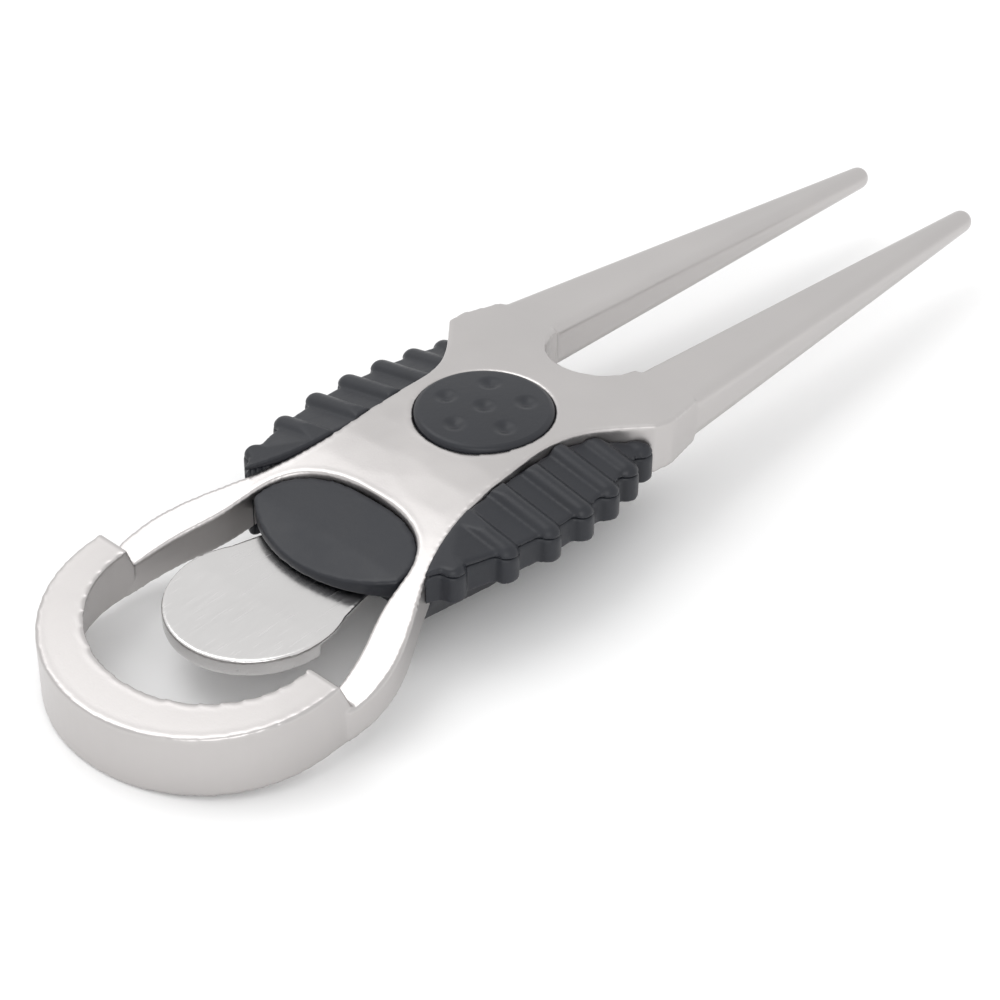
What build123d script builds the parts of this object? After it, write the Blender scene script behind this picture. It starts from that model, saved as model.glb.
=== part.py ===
from build123d import *
import os
from math import sqrt

os.makedirs("parts", exist_ok=True)

# Divot repair tool, in millimetres.
# +X runs from the ring end to the prong tips, +Z is up, and the tool is symmetric about Y = 0.
# The origin is on the flat underside of the back cover, straight below the centre of the badge.

# Driving dimensions
waist_top = 10.8        # top of the metal waist above the underside
shoulder_x = 9.0        # corner where the waist widens into the prong shoulders
shoulder_half = 13.1
waist_half = 8.1
arm_half = 15.2         # outer half-width of the ring arms
step_x = -32.4          # where the arms step up into the raised end loop
loop_end_x = -48.2      # outermost point of the end loop
loop_bar = 4.1          # width of the end loop's bar at its middle
prong_root_x = 15.6
prong_tip_x = 67.8
prong_tip_y = 6.8
prong_tip_dia = 2.4
notch_half = 4.9        # half-width of the gap between the prongs at its root
opening_front_x = -14.3  # front end of the ring opening
badge_dia = 13.0
badge_recess = 1.3
badge_crown = 0.5
seam_z = 8.2            # parting line between the upper grips and the back cover
grip_arc_x = -4.7       # centre and radius of the arc that bounds each grip between its ribs
grip_arc_y = -19.25
grip_arc_r = 34.0
grip_back_x = -20.5
grip_front_x = 12.0
wall_foot_z = 5.7       # lower edge of the scalloped side wall, where the underside slants in
cover_flat_half = 9.0   # half-width of the flat underside
rib_count = 7
first_rib_x = -17.0
first_rib_pitch = 5.05
rib_pitch_loss = 0.38   # each gap between ribs is this much shorter than the one before
rib_radius = 1.15
clip_top = 5.1
clip_thickness = 0.6
clip_crease_x = -28.7
clip_tip_x = -36.8
clip_half = 8.2
clip_root_x = -9.4
clip_root_half = 5.2
clip_lip = 1.7          # height of the turned-down lip round the clip's tip
hinge_x = -11.6         # line about which the clip flexes
rivet_dia = 1.6
rivet_head_dia = 3.2
rivet_y = 3.0
fit_gap = 0.1
low = -4.0              # construction planes below and above the whole tool
tall = 20.0


def grip_y(x):
    """Half-width of the grip, between ribs, at x."""
    return grip_arc_y + sqrt(grip_arc_r**2 - (x - grip_arc_x) ** 2)


# Rib positions along the waist
rib_xs = [first_rib_x]
for i in range(rib_count - 1):
    rib_xs.append(rib_xs[-1] + first_rib_pitch - i * rib_pitch_loss)

# Frame: one cast piece holding the two prongs, the waist, the ring arms and the raised end loop
with BuildPart() as frame:
    # Plan of the prong shoulders, waist and arms
    with BuildSketch(Plane.XY.offset(low)) as plan:
        with BuildLine() as edge:
            waist_edge = Spline(
                (step_x, arm_half + 0.2), (-26.0, arm_half - 0.3), (-19.5, 11.4), (-13.0, 8.9),
                (-4.0, waist_half), (3.2, 8.7), (6.6, 11.0), (shoulder_x, shoulder_half),
            )
            Line((shoulder_x, shoulder_half), (11.0, 13.4))
            Line((11.0, 13.4), (prong_root_x, 12.45))
            Line((prong_root_x, 12.45), (prong_root_x, 0))
            Line((prong_root_x, 0), (step_x, 0))
            Line((step_x, 0), (step_x, arm_half + 0.2))
        make_face()
        mirror(about=Plane.XZ)
        with Locations((prong_root_x, 0)):
            Circle(notch_half, mode=Mode.SUBTRACT)
    extrude(amount=tall)
    waist_block = frame.part
    # Ring opening between the arms
    with BuildSketch(Plane.XY.offset(low)) as ring_opening:
        with BuildLine() as opening_edge:
            Spline(
                (step_x, 12.9), (-27.8, 11.8), (-22.7, 9.9), (-19.0, 9.1), (opening_front_x, 0),
                tangents=[(1, -0.25), (0, -1)],
            )
            Line((opening_front_x, 0), (step_x, 0))
            Line((step_x, 0), (step_x, 12.9))
        make_face()
        mirror(about=Plane.XZ)
    extrude(amount=tall, mode=Mode.SUBTRACT)
    # Side profile: the arms arch down from the waist towards the ring end
    with BuildSketch(Plane.XZ) as arch:
        with BuildLine() as arch_edge:
            Spline((step_x, 3.5), (-26.0, 5.6), (-19.5, 7.65), (-13.0, 9.3), (-6.5, 10.4), (0, waist_top))
            Line((0, waist_top), (shoulder_x, waist_top))
            Line((shoulder_x, waist_top), (prong_root_x, waist_top - 0.65))
            Line((prong_root_x, waist_top - 0.65), (prong_root_x, 5.6))
            Line((prong_root_x, 5.6), (-8.0, 5.6))
            Line((-8.0, 5.6), (-14.6, 5.3))
            Spline((-14.6, 5.3), (-21.0, 3.3), (-26.0, 2.0), (step_x, 0.5))
            Line((step_x, 0.5), (step_x, 3.5))
        make_face()
    extrude(amount=tall, both=True, mode=Mode.INTERSECT)
    # Prongs: a rounded bar that tapers to a round tip
    for side in (-1, 1):
        with BuildSketch(Plane.YZ.offset(prong_root_x - 3.5)) as prong_root:
            with Locations((side * 8.9, 8.0)):
                RectangleRounded(7.6, 4.7, 1.0)
        with BuildSketch(Plane.YZ.offset(prong_tip_x - prong_tip_dia / 2)) as prong_end:
            with Locations((side * prong_tip_y, 5.75)):
                RectangleRounded(prong_tip_dia, prong_tip_dia, prong_tip_dia / 2 - 0.02)
        loft()
        with Locations((prong_tip_x - prong_tip_dia / 2, side * prong_tip_y, 5.75)):
            Sphere(prong_tip_dia / 2)
    # Seat for the badge
    with Locations((0, 0, waist_top - badge_recess)):
        Cylinder(badge_dia / 2 + fit_gap / 2, 5, align=(Align.CENTER, Align.CENTER, Align.MIN), mode=Mode.SUBTRACT)
    # Rivet holes in the underside
    with Locations((hinge_x + 1.0, rivet_y, 4.0), (hinge_x + 1.0, -rivet_y, 4.0)):
        Cylinder(rivet_dia / 2, 4.0, align=(Align.CENTER, Align.CENTER, Align.MIN), mode=Mode.SUBTRACT)

# Raised end loop, joined to the arms at the step
with BuildPart() as loop:
    with BuildSketch(Plane.XY.offset(low)) as loop_plan:
        with Locations((step_x - 2.2, 0)):
            Ellipse(abs(loop_end_x - step_x + 2.2), arm_half)
        with BuildLine() as joint_edge:
            Polyline((step_x - 2.2, arm_half), (step_x + 0.6, arm_half), (step_x + 0.6, -arm_half),
                     (step_x - 2.2, -arm_half), close=True)
        make_face()
    extrude(amount=tall)
    with BuildSketch(Plane.XY.offset(10.0)) as loop_hole:
        with Locations((step_x - 1.2, 0)):
            Ellipse(abs(loop_end_x + loop_bar - step_x + 1.2) - 1.4, 10.7)
        with Locations((step_x + 4.8, 0)):
            Rectangle(12.0, 21.4)
    extrude(amount=-12.0, taper=-14, mode=Mode.SUBTRACT)
    with BuildSketch(Plane.XZ) as loop_side:
        with BuildLine() as loop_profile:
            Polyline((step_x - 0.8, 6.7), (loop_end_x, 4.8), (loop_end_x - 0.5, -1.4),
                     (step_x + 0.6, 0.45), (step_x + 0.6, 3.6), close=True)
        make_face()
    extrude(amount=tall, both=True, mode=Mode.INTERSECT)

with BuildPart() as tool_frame:
    add(frame.part)
    add(loop.part)
tool_frame.part.label = "fork_frame"

# Badge: a rubber disc with six shallow dimples, seated in the waist
with BuildPart() as badge:
    with Locations((0, 0, waist_top - badge_recess)):
        Cylinder(badge_dia / 2, badge_recess + badge_crown, align=(Align.CENTER, Align.CENTER, Align.MIN))
    fillet(badge.edges().group_by(Axis.Z)[-1], 0.35)
    dimple_z = waist_top + badge_crown + 2.2
    with Locations((0, 0, dimple_z)):
        Sphere(2.5, mode=Mode.SUBTRACT)
    with Locations(Plane.XY.offset(dimple_z)):
        with PolarLocations(3.9, 5, start_angle=36):
            Sphere(2.5, mode=Mode.SUBTRACT)
badge.part.label = "badge"

# Clip: a spring-steel tongue with a turned-down lip round its tip
with BuildPart() as clip:
    with BuildSketch(Plane.XY.offset(clip_top)) as clip_plan:
        with BuildLine() as clip_edge:
            Polyline(
                (clip_root_x, clip_root_half), (-19.0, clip_root_half + 0.6), (clip_crease_x, clip_half),
                (clip_crease_x, -clip_half), (-19.0, -clip_root_half - 0.6), (clip_root_x, -clip_root_half),
                close=True,
            )
        make_face()
        with Locations((clip_crease_x, 0)):
            Ellipse(abs(clip_tip_x - clip_crease_x), clip_half)
    extrude(amount=-clip_thickness)
    with BuildSketch(Plane.XY.offset(clip_top)) as lip_plan:
        with Locations((clip_crease_x, 0)):
            Ellipse(abs(clip_tip_x - clip_crease_x), clip_half)
            Ellipse(abs(clip_tip_x - clip_crease_x) - clip_thickness, clip_half - clip_thickness, mode=Mode.SUBTRACT)
        with Locations((clip_crease_x + 10.0, 0)):
            Rectangle(20.0, 20.0, mode=Mode.SUBTRACT)
    extrude(amount=-clip_lip)
    with Locations((hinge_x + 1.0, rivet_y, clip_top), (hinge_x + 1.0, -rivet_y, clip_top)):
        Hole(rivet_dia / 2 + 0.3)
clip.part.label = "clip"

# Two rivets that hold the root of the clip under the waist
with BuildPart() as clip_rivets:
    head_top = clip_top - clip_thickness - 0.15
    with Locations((hinge_x + 1.0, rivet_y, head_top), (hinge_x + 1.0, -rivet_y, head_top)):
        Cylinder(rivet_dia / 2, 3.4, align=(Align.CENTER, Align.CENTER, Align.MIN))
        Cylinder(rivet_head_dia / 2, 0.8, align=(Align.CENTER, Align.CENTER, Align.MAX))
clip_rivets.part.label = "clip_rivets"

# Oval pad: fills the front of the ring opening above the clip
with BuildPart() as oval_pad:
    with BuildSketch(Plane.XY.offset(clip_top + 0.2)) as pad_plan:
        with BuildLine() as pad_edge:
            Spline(
                (-20.4, 9.25 - fit_gap), (-19.0, 9.1 - fit_gap), (opening_front_x - fit_gap, 0),
                tangents=[(1, -0.1), (0, -1)],
            )
            Line((opening_front_x - fit_gap, 0), (-23.8, 0))
            ThreePointArc((-23.8, 0), (-22.9, 5.0), (-20.4, 9.25 - fit_gap))
        make_face()
        mirror(about=Plane.XZ)
    extrude(amount=tall)
    with BuildSketch(Plane.XZ) as pad_side:
        with BuildLine() as pad_profile:
            Polyline((-24.5, 5.3), (-24.5, 6.1), (-20.0, 7.3), (-14.0, 8.5), (-14.0, 5.3), close=True)
        make_face()
    extrude(amount=tall, both=True, mode=Mode.INTERSECT)
    add(tool_frame.part, mode=Mode.SUBTRACT)
oval_pad.part.label = "oval_pad"

# Upper grips: ribbed rubber slopes on both sides of the waist
for side, name in ((1, "grip_left"), (-1, "grip_right")):
    with BuildPart() as grip:
        with BuildSketch(Plane.XY.offset(6.0)) as grip_plan:
            with BuildLine() as grip_edge:
                ThreePointArc(
                    (grip_back_x, grip_y(grip_back_x) * side), (0, grip_y(0) * side),
                    (grip_front_x, grip_y(grip_front_x) * side),
                )
                Polyline((grip_front_x, grip_y(grip_front_x) * side), (grip_front_x, 6.0 * side),
                         (grip_back_x, 6.0 * side), (grip_back_x, grip_y(grip_back_x) * side))
            make_face()
        extrude(amount=tall)
        with BuildSketch(Plane.YZ) as grip_slope:
            with BuildLine() as slope_edge:
                Polyline((6.0 * side, 7.0), (6.0 * side, 10.0), (8.0 * side, 9.85), (16.5 * side, seam_z),
                         (11.0 * side, seam_z), (11.0 * side, 7.0), close=True)
            make_face()
        extrude(amount=40, both=True, mode=Mode.INTERSECT)
        # One rounded rib across the slope at each station
        for rib_x in rib_xs:
            rib_end = (rib_x, grip_y(rib_x) * side, seam_z - 0.1)
            with Locations(rib_end):
                Sphere(rib_radius)
            with Locations(Plane(rib_end, z_dir=(0, -side, 0.2))):
                Cylinder(rib_radius, 6.5, align=(Align.CENTER, Align.CENTER, Align.MIN))
        with Locations((0, 0, seam_z)):
            Box(60, 60, 10, align=(Align.CENTER, Align.CENTER, Align.MAX), mode=Mode.SUBTRACT)
        # The ring end of the grip falls with the arms
        with BuildSketch(Plane.XZ) as grip_side:
            with BuildLine() as side_edge:
                Polyline((-22.0, 7.0), (-22.0, 8.3), (-9.0, 10.2), (14.0, 10.7), (14.0, 7.0), close=True)
            make_face()
        extrude(amount=tall, both=True, mode=Mode.INTERSECT)
        add(waist_block, mode=Mode.SUBTRACT)
    grip.part.label = name
    export_step(grip.part, "parts/" + name + ".step")

# Back cover: the lower rubber shell, with a scalloped wall on each side and a flat underside
with BuildPart() as back_cover:
    with BuildSketch(Plane.XY.offset(seam_z)) as cover_plan:
        with BuildLine() as cover_edge:
            back_y = grip_y(grip_back_x)
            front_y = grip_y(grip_front_x)
            ThreePointArc((grip_back_x, back_y), (0, grip_y(0)), (grip_front_x, front_y))
            Line((grip_front_x, front_y), (grip_front_x, -front_y))
            ThreePointArc((grip_front_x, -front_y), (0, -grip_y(0)), (grip_back_x, -back_y))
            Line((grip_back_x, -back_y), (grip_back_x, back_y))
        make_face()
    extrude(amount=-seam_z)
    # Upright ribs on both side walls
    for side in (1, -1):
        for rib_x in rib_xs:
            with Locations((rib_x, grip_y(rib_x) * side, 0)):
                Cylinder(rib_radius, seam_z, align=(Align.CENTER, Align.CENTER, Align.MIN))
    # The scalloped side wall is a short flange; below it the body is narrower
    with BuildSketch(Plane.YZ) as cover_section:
        with BuildLine() as section_edge:
            wall_top = grip_y(grip_arc_x) + rib_radius + 0.1
            Polyline(
                (cover_flat_half, 0), (11.2, wall_foot_z - 0.4), (wall_top, wall_foot_z), (wall_top, seam_z),
                (-wall_top, seam_z), (-wall_top, wall_foot_z), (-11.2, wall_foot_z - 0.4), (-cover_flat_half, 0),
                close=True,
            )
        make_face()
    extrude(amount=40, both=True, mode=Mode.INTERSECT)
    with BuildSketch(Plane.XZ) as cover_side:
        with BuildLine() as cover_profile:
            Polyline(
                (-9.0, 0), (4.0, 0), (12.0, 2.4), (12.0, seam_z), (-18.6, seam_z), (-21.0, 7.2), (-21.0, 2.6),
                close=True,
            )
        make_face()
    extrude(amount=tall, both=True, mode=Mode.INTERSECT)
    # Room above and below the clip while it flexes
    with BuildSketch(Plane.XZ) as pocket_side:
        with BuildLine() as pocket_profile:
            Polyline((-9.0, 3.4), (-13.0, 3.4), (-21.0, 2.9), (-21.0, 9.0), (-9.0, 9.0), close=True)
        make_face()
    extrude(amount=clip_root_half + 1.6, both=True, mode=Mode.SUBTRACT)
    add(tool_frame.part, mode=Mode.SUBTRACT)
    add(oval_pad.part, mode=Mode.SUBTRACT)
    with Locations((0, 0, 5.6)):
        Box(24, 17.0, 10, align=(Align.CENTER, Align.CENTER, Align.MIN), mode=Mode.SUBTRACT)
    # Nothing of the cover shows through the ring opening
    with Locations((-12.0, 0, clip_top + 0.1)):
        Box(11.0, 18.8, tall, align=(Align.MAX, Align.CENTER, Align.MIN), mode=Mode.SUBTRACT)
    with Locations((-18.5, 0, 0)):
        Box(11.0, 18.8, tall, align=(Align.MAX, Align.CENTER, Align.MIN), mode=Mode.SUBTRACT)
back_cover.part.label = "back_cover"

export_step(back_cover.part, "parts/back_cover.step")
export_step(tool_frame.part, "parts/fork_frame.step")
export_step(badge.part, "parts/badge.step")
export_step(clip.part, "parts/clip.step")
export_step(clip_rivets.part, "parts/clip_rivets.step")
export_step(oval_pad.part, "parts/oval_pad.step")
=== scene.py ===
import bpy
import bmesh
import math
import numpy as np
from mathutils import Matrix, Vector


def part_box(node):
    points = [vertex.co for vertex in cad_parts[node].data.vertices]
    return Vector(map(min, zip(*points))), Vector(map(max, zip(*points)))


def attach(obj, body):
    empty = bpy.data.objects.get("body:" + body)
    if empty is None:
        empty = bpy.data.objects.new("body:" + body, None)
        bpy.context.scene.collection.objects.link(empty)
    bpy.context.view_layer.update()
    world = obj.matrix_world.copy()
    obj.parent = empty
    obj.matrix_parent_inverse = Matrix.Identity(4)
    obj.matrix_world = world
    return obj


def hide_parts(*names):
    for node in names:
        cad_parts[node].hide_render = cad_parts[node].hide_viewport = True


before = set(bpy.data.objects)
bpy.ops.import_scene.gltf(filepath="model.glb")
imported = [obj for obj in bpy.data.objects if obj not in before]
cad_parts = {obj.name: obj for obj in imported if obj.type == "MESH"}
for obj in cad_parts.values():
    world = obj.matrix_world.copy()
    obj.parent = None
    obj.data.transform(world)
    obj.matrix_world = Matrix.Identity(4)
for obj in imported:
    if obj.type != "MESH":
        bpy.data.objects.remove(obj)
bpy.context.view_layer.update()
MM = 0.001
TOOL = "tool_body"
CLIP = "clip_body"

# ---------------------------------------------------------------- places read from the frame
badge_lo, badge_hi = (np.array(p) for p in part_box("badge"))
clip_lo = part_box("clip")[0]
frame_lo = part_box("fork_frame")[0]
STEP_X = -32.4 * MM
CREASE_X = clip_lo[0] + 8.1 * MM

# Rounding of each piece: remesh voxel in mm, and smoothing passes
FRAME_ROUNDING = (0.17, 60)
PAD_ROUNDING = (0.18, 16)
GRIP_ROUNDING = (0.16, 7)
COVER_ROUNDING = (0.2, 7)
CLIP_ROUNDING = (0.14, 10)
STEP_CRISP_WIDTH = 1.6 * MM   # how far from the step the frame's edges stay crisp
CLIP_TIP_FALL = 0.05          # fall of the clip past its crease, per unit of length

# The cover's ring end is tucked under the arms: the arms' outer half-width at four stations, in mm
ARM_STATIONS = [-21.0, -19.5, -17.0, -13.0]
ARM_HALF_WIDTHS = [12.2, 11.4, 10.35, 8.9]
TUCK_FROM_X = -16.5 * MM
TUCK_Z = 6.5 * MM
TUCK_SQUEEZE = 0.05

# Badge: rounded rim, crown and dimples
BADGE_RINGS, BADGE_AROUND = 90, 180
BADGE_RIM = 0.45 * MM
BADGE_CROWN = 0.25 * MM
DIMPLE_RADIUS, DIMPLE_DEPTH = 1.3 * MM, 0.32 * MM
DIMPLE_RING = 3.9 * MM

FLOOR_HALF = 3.0
WORLD_STRENGTH = 0.97


# ---------------------------------------------------------------- node material helpers
def new_material(name, color, metallic, roughness):
    """A material with its Principled shader, and the node tree's helpers."""
    mat = bpy.data.materials.new(name)
    mat.use_nodes = True
    nodes = mat.node_tree.nodes
    shader = nodes["Principled BSDF"]
    shader.inputs["Base Color"].default_value = (*color, 1.0)
    shader.inputs["Metallic"].default_value = metallic
    shader.inputs["Roughness"].default_value = roughness
    return mat, nodes, mat.node_tree.links, shader


def noise(nodes, links, scale, detail=4.0, stretch=(1, 1, 1), rough=0.55):
    """A noise texture in object space; scale is in cells per metre."""
    coord = nodes.new("ShaderNodeTexCoord")
    mapping = nodes.new("ShaderNodeMapping")
    mapping.inputs["Scale"].default_value = stretch
    tex = nodes.new("ShaderNodeTexNoise")
    tex.inputs["Scale"].default_value = scale
    tex.inputs["Detail"].default_value = detail
    tex.inputs["Roughness"].default_value = rough
    links.new(coord.outputs["Object"], mapping.inputs["Vector"])
    links.new(mapping.outputs["Vector"], tex.inputs["Vector"])
    return tex.outputs["Fac"]


def ramp(nodes, links, value, low, high, start=0.3, end=0.7):
    """Maps value from start..end to low..high."""
    node = nodes.new("ShaderNodeMapRange")
    node.inputs["From Min"].default_value = start
    node.inputs["From Max"].default_value = end
    node.inputs["To Min"].default_value = low
    node.inputs["To Max"].default_value = high
    links.new(value, node.inputs["Value"])
    return node.outputs["Result"]


def tint(nodes, links, value, dark, light):
    """A colour between dark and light."""
    node = nodes.new("ShaderNodeMix")
    node.data_type = "RGBA"
    node.inputs["A"].default_value = (*dark, 1.0)
    node.inputs["B"].default_value = (*light, 1.0)
    links.new(value, node.inputs["Factor"])
    return node.outputs["Result"]


def bump(nodes, links, shader, heights):
    """Chains bump nodes, one for each (height, strength, distance)."""
    normal = None
    for height, strength, distance in heights:
        node = nodes.new("ShaderNodeBump")
        node.inputs["Strength"].default_value = strength
        node.inputs["Distance"].default_value = distance
        links.new(height, node.inputs["Height"])
        if normal is not None:
            links.new(normal, node.inputs["Normal"])
        normal = node.outputs["Normal"]
    links.new(normal, shader.inputs["Normal"])


def satin_metal():
    """Bead-blasted satin nickel: fine grain, faint cloudiness and slightly polished high spots."""
    mat, nodes, links, shader = new_material("satin_nickel", (0.53, 0.51, 0.505), 1.0, 0.34)
    cloud = noise(nodes, links, 90.0, 3.0)
    grain = noise(nodes, links, 5200.0, 2.0)
    streak = noise(nodes, links, 2600.0, 3.0, (0.12, 1, 1))
    links.new(tint(nodes, links, cloud, (0.50, 0.482, 0.476), (0.56, 0.54, 0.532)), shader.inputs["Base Color"])
    links.new(ramp(nodes, links, cloud, 0.29, 0.39), shader.inputs["Roughness"])
    bump(nodes, links, shader, [(grain, 0.12, 0.00003), (streak, 0.10, 0.00003)])
    return mat


def moulded_rubber():
    """Satin black rubber with a slightly uneven skin."""
    mat, nodes, links, shader = new_material("moulded_rubber", (0.03, 0.032, 0.039), 0.0, 0.42)
    blotch = noise(nodes, links, 260.0, 4.0)
    skin = noise(nodes, links, 1500.0, 5.0)
    fine = noise(nodes, links, 7000.0, 2.0)
    skin_color = tint(nodes, links, blotch, (0.011, 0.012, 0.016), (0.021, 0.023, 0.029))
    links.new(skin_color, shader.inputs["Base Color"])
    links.new(ramp(nodes, links, blotch, 0.34, 0.50), shader.inputs["Roughness"])
    shader.inputs["Specular IOR Level"].default_value = 0.38
    bump(nodes, links, shader, [(skin, 0.18, 0.0001), (fine, 0.10, 0.00003)])
    return mat


def brushed_steel():
    """Sheet steel, brushed along its length on the flat."""
    mat, nodes, links, shader = new_material("clip_steel", (0.80, 0.79, 0.78), 1.0, 0.2)
    streak = noise(nodes, links, 6000.0, 3.0, (0.04, 1, 1))
    cloud = noise(nodes, links, 150.0, 3.0)
    links.new(tint(nodes, links, cloud, (0.62, 0.61, 0.605), (0.68, 0.67, 0.665)), shader.inputs["Base Color"])
    links.new(ramp(nodes, links, streak, 0.16, 0.28), shader.inputs["Roughness"])
    bump(nodes, links, shader, [(streak, 0.05, 0.00002)])
    return mat


METAL = satin_metal()
RUBBER = moulded_rubber()
STEEL = brushed_steel()


# ---------------------------------------------------------------- mesh helpers
def rounded_copy(node, name, rounding, weight=None):
    """A dense copy of a CAD node with its edges rounded: voxel remesh, then weighted smoothing.
    weight takes the points and gives how strongly each one is smoothed, 0 to 1."""
    voxel, passes = rounding
    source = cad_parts[node]
    obj = bpy.data.objects.new(name, source.data.copy())
    bpy.context.collection.objects.link(obj)
    obj.matrix_world = source.matrix_world.copy()
    remesh = obj.modifiers.new("remesh", "REMESH")
    remesh.mode = "VOXEL"
    remesh.voxel_size = voxel * MM
    depsgraph = bpy.context.evaluated_depsgraph_get()
    mesh = bpy.data.meshes.new_from_object(obj.evaluated_get(depsgraph))
    obj.modifiers.clear()
    obj.data = mesh
    points = read_points(mesh)
    strength = np.ones(len(points)) if weight is None else weight(points)
    write_points(mesh, smooth_points(mesh, points, passes, strength))
    return obj


def read_points(mesh):
    flat = np.empty(len(mesh.vertices) * 3)
    mesh.vertices.foreach_get("co", flat)
    return flat.reshape(-1, 3)


def write_points(mesh, points):
    mesh.vertices.foreach_set("co", points.ravel())
    mesh.update()


def smooth_points(mesh, points, passes, strength):
    """Smoothing with a strength for each point.
    Each pass shrinks, then swells back, so thin bars keep their size."""
    ends = np.empty(len(mesh.edges) * 2, dtype=np.int64)
    mesh.edges.foreach_get("vertices", ends)
    a, b = ends[0::2], ends[1::2]
    count = np.bincount(ends, minlength=len(points))[:, None]
    shrink, swell = (0.5 * strength)[:, None], (-0.52 * strength)[:, None]
    for step in [shrink] * 4 + [shrink, swell] * passes:
        columns = []
        for k in range(3):
            from_b = np.bincount(a, points[b, k], len(points))
            from_a = np.bincount(b, points[a, k], len(points))
            columns.append(from_b + from_a)
        total = np.stack(columns, axis=1)
        points = points + step * (total / np.maximum(count, 1) - points)
    return points


def finish_piece(obj, body, material, slot, *nodes):
    """Smooth shading, material, and the frame's book-keeping."""
    obj.data.materials.clear()
    obj.data.materials.append(material)
    for polygon in obj.data.polygons:
        polygon.use_smooth = True
    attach(obj, body)
    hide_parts(*nodes)
    return obj


# ---------------------------------------------------------------- the pieces
def build_frame():
    def weight(p):
        """Softer at the shoulders and along the prongs, crisp near the step."""
        near_step = np.exp(-((p[:, 0] - STEP_X) / STEP_CRISP_WIDTH) ** 2)
        return 1.0 - 0.85 * near_step
    obj = rounded_copy("fork_frame", "frame_casting", FRAME_ROUNDING, weight)
    return finish_piece(obj, TOOL, METAL, "satin_metal", "fork_frame")


def build_rubber(node, name, rounding):
    obj = rounded_copy(node, name, rounding)
    return finish_piece(obj, TOOL, RUBBER, "black_rubber", node)


def build_cover():
    """The lower shell, with the ring end of its top edge tucked down into the arms."""
    obj = rounded_copy("back_cover", "cover_moulding", COVER_ROUNDING)
    p = read_points(obj.data)
    arm_edge = np.interp(p[:, 0] / MM, ARM_STATIONS, ARM_HALF_WIDTHS) * MM
    over_arm = (p[:, 0] < TUCK_FROM_X) & (np.abs(p[:, 1]) < arm_edge) & (p[:, 2] > TUCK_Z)
    p[over_arm, 2] = TUCK_Z + TUCK_SQUEEZE * (p[over_arm, 2] - TUCK_Z)
    write_points(obj.data, p)
    return finish_piece(obj, TOOL, RUBBER, "black_rubber", "back_cover")


def build_badge():
    """A disc with a rounded rim, a low crown and six dimples, as a grid of rings."""
    radius = (badge_hi[0] - badge_lo[0]) / 2
    rings, around = BADGE_RINGS, BADGE_AROUND
    rim, crown = BADGE_RIM, BADGE_CROWN
    top = badge_hi[2] - crown
    bottom = badge_lo[2] + 0.1 * MM
    centres = [(0.0, 0.0)]
    for k in range(5):
        turn = math.radians(36 + 72 * k)
        centres.append((DIMPLE_RING * math.cos(turn), DIMPLE_RING * math.sin(turn)))
    mesh = bpy.data.meshes.new("badge_disc")
    bm = bmesh.new()
    loops = []
    flat_r = radius - rim
    profile = [(flat_r * (i / rings), None) for i in range(1, rings + 1)]
    for t in np.linspace(0.2, math.pi / 2, 8):
        profile.append((flat_r + rim * math.sin(t), rim * (1 - math.cos(t))))
    profile.append((radius, rim + 0.5 * (top - rim - bottom)))
    profile += [(radius, top - bottom), (radius * 0.5, top - bottom)]

    def height(x, y, r):
        z = top + crown * (1 - (r / radius) ** 2)
        for cx, cy in centres:
            d = math.hypot(x - cx, y - cy) / DIMPLE_RADIUS
            if d < 1:
                z -= DIMPLE_DEPTH * 0.5 * (1 + math.cos(math.pi * d))
        return z

    centre = bm.verts.new((0, 0, height(0, 0, 0)))
    for r, drop in profile:
        loop = []
        for k in range(around):
            turn = 2 * math.pi * k / around
            x, y = r * math.cos(turn), r * math.sin(turn)
            z = height(x, y, r) if drop is None else top - drop
            loop.append(bm.verts.new((x, y, z)))
        loops.append(loop)
    for k in range(around):
        bm.faces.new((centre, loops[0][k], loops[0][(k + 1) % around]))
    for inner, outer in zip(loops, loops[1:]):
        for k in range(around):
            n = (k + 1) % around
            bm.faces.new((inner[k], outer[k], outer[n], inner[n]))
    bm.faces.new(list(reversed(loops[-1])))
    bmesh.ops.recalc_face_normals(bm, faces=bm.faces)
    bm.to_mesh(mesh)
    bm.free()
    obj = bpy.data.objects.new("badge_disc", mesh)
    bpy.context.collection.objects.link(obj)
    return finish_piece(obj, TOOL, RUBBER, "black_rubber", "badge")


def build_clip():
    obj = rounded_copy("clip", "clip_tongue", CLIP_ROUNDING)
    p = read_points(obj.data)
    past = np.clip(CREASE_X - p[:, 0], 0, None)
    p[:, 2] -= CLIP_TIP_FALL * past
    write_points(obj.data, p)
    return finish_piece(obj, CLIP, STEEL, "polished_steel", "clip")


build_frame()
build_badge()
build_rubber("oval_pad", "pad_moulding", PAD_ROUNDING)
build_rubber("grip_left", "grip_moulding_left", GRIP_ROUNDING)
build_rubber("grip_right", "grip_moulding_right", GRIP_ROUNDING)
build_cover()
build_clip()
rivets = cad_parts["clip_rivets"]
rivets.data.materials.clear()
rivets.data.materials.append(STEEL)

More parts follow.
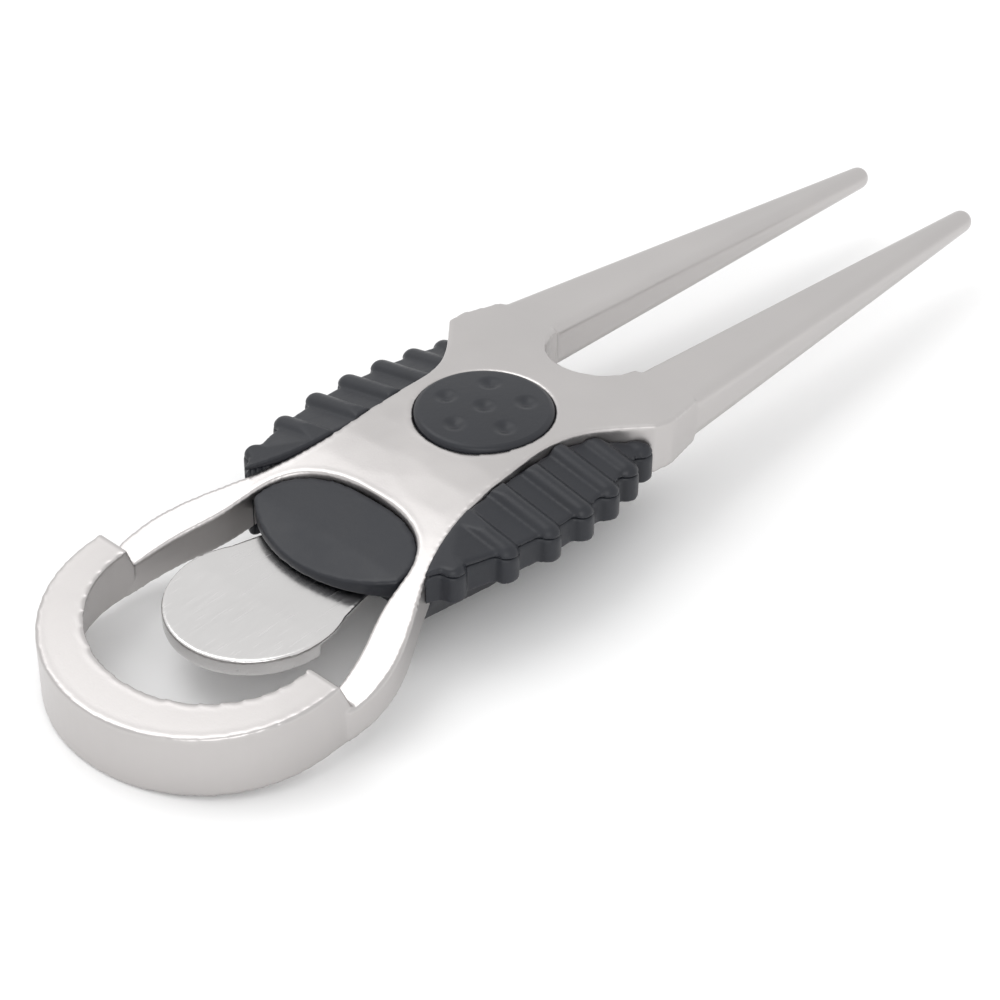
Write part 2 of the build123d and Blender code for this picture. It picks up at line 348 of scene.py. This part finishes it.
# ---------------------------------------------------------------- floor, light and camera
floor_z = float(frame_lo[2])
floor_mesh = bpy.data.meshes.new("floor")
corners = [(-1, -1), (1, -1), (1, 1), (-1, 1)]
floor_points = [(x * FLOOR_HALF, y * FLOOR_HALF, floor_z) for x, y in corners]
floor_mesh.from_pydata(floor_points, [], [(0, 1, 2, 3)])
floor = bpy.data.objects.new("floor", floor_mesh)
bpy.context.collection.objects.link(floor)
floor_mat, floor_nodes, floor_links, floor_shader = new_material("floor_paper", (0.93, 0.93, 0.93), 0.0, 0.8)
paper = noise(floor_nodes, floor_links, 40.0, 3.0)
paper_color = tint(floor_nodes, floor_links, paper, (0.925, 0.925, 0.925), (0.935, 0.935, 0.935))
floor_links.new(paper_color, floor_shader.inputs["Base Color"])
floor_mesh.materials.append(floor_mat)

world = bpy.data.worlds.new("studio")
bpy.context.scene.world = world
world.use_nodes = True
backdrop = world.node_tree.nodes["Background"]
backdrop.inputs["Color"].default_value = (1.0, 1.0, 1.0, 1.0)
backdrop.inputs["Strength"].default_value = WORLD_STRENGTH


def area_light(name, place, aim, size, power):
    """A square soft box at place, facing aim."""
    data = bpy.data.lights.new(name, "AREA")
    data.size = size
    data.energy = power
    obj = bpy.data.objects.new(name, data)
    bpy.context.collection.objects.link(obj)
    obj.location = place
    obj.rotation_euler = (Vector(aim) - Vector(place)).to_track_quat("-Z", "Y").to_euler()


area_light("key", (-0.05, 0.25, 0.50), (0, 0, 0), 0.35, 0.8)
area_light("fill", (-0.45, -0.35, 0.30), (0, 0, 0), 0.40, 0.9)

# Camera: a long lens that looks down the tool from behind its ring end, with a slight roll
LENS_MM = 94.16
CAMERA_PLACE = Vector((-145.0, -135.8, 144.8)) * MM
HEADING, DIP, ROLL = (math.radians(a) for a in (47.32, 35.97, -0.67))
forward = Vector((math.cos(DIP) * math.sin(HEADING), math.cos(DIP) * math.cos(HEADING), -math.sin(DIP)))
level = Vector((math.cos(HEADING), -math.sin(HEADING), 0.0))
right = Matrix.Rotation(ROLL, 3, forward) @ level
up = right.cross(forward)
camera_data = bpy.data.cameras.new("camera")
camera_data.sensor_width = 36.0
camera_data.lens = LENS_MM
camera_data.clip_start = 10 * MM
camera = bpy.data.objects.new("camera", camera_data)
bpy.context.collection.objects.link(camera)
aim = Matrix((right, up, -forward)).transposed().to_4x4()
camera.matrix_world = Matrix.Translation(CAMERA_PLACE) @ aim
bpy.context.scene.camera = camera
bpy.context.scene.view_settings.view_transform = "Standard"
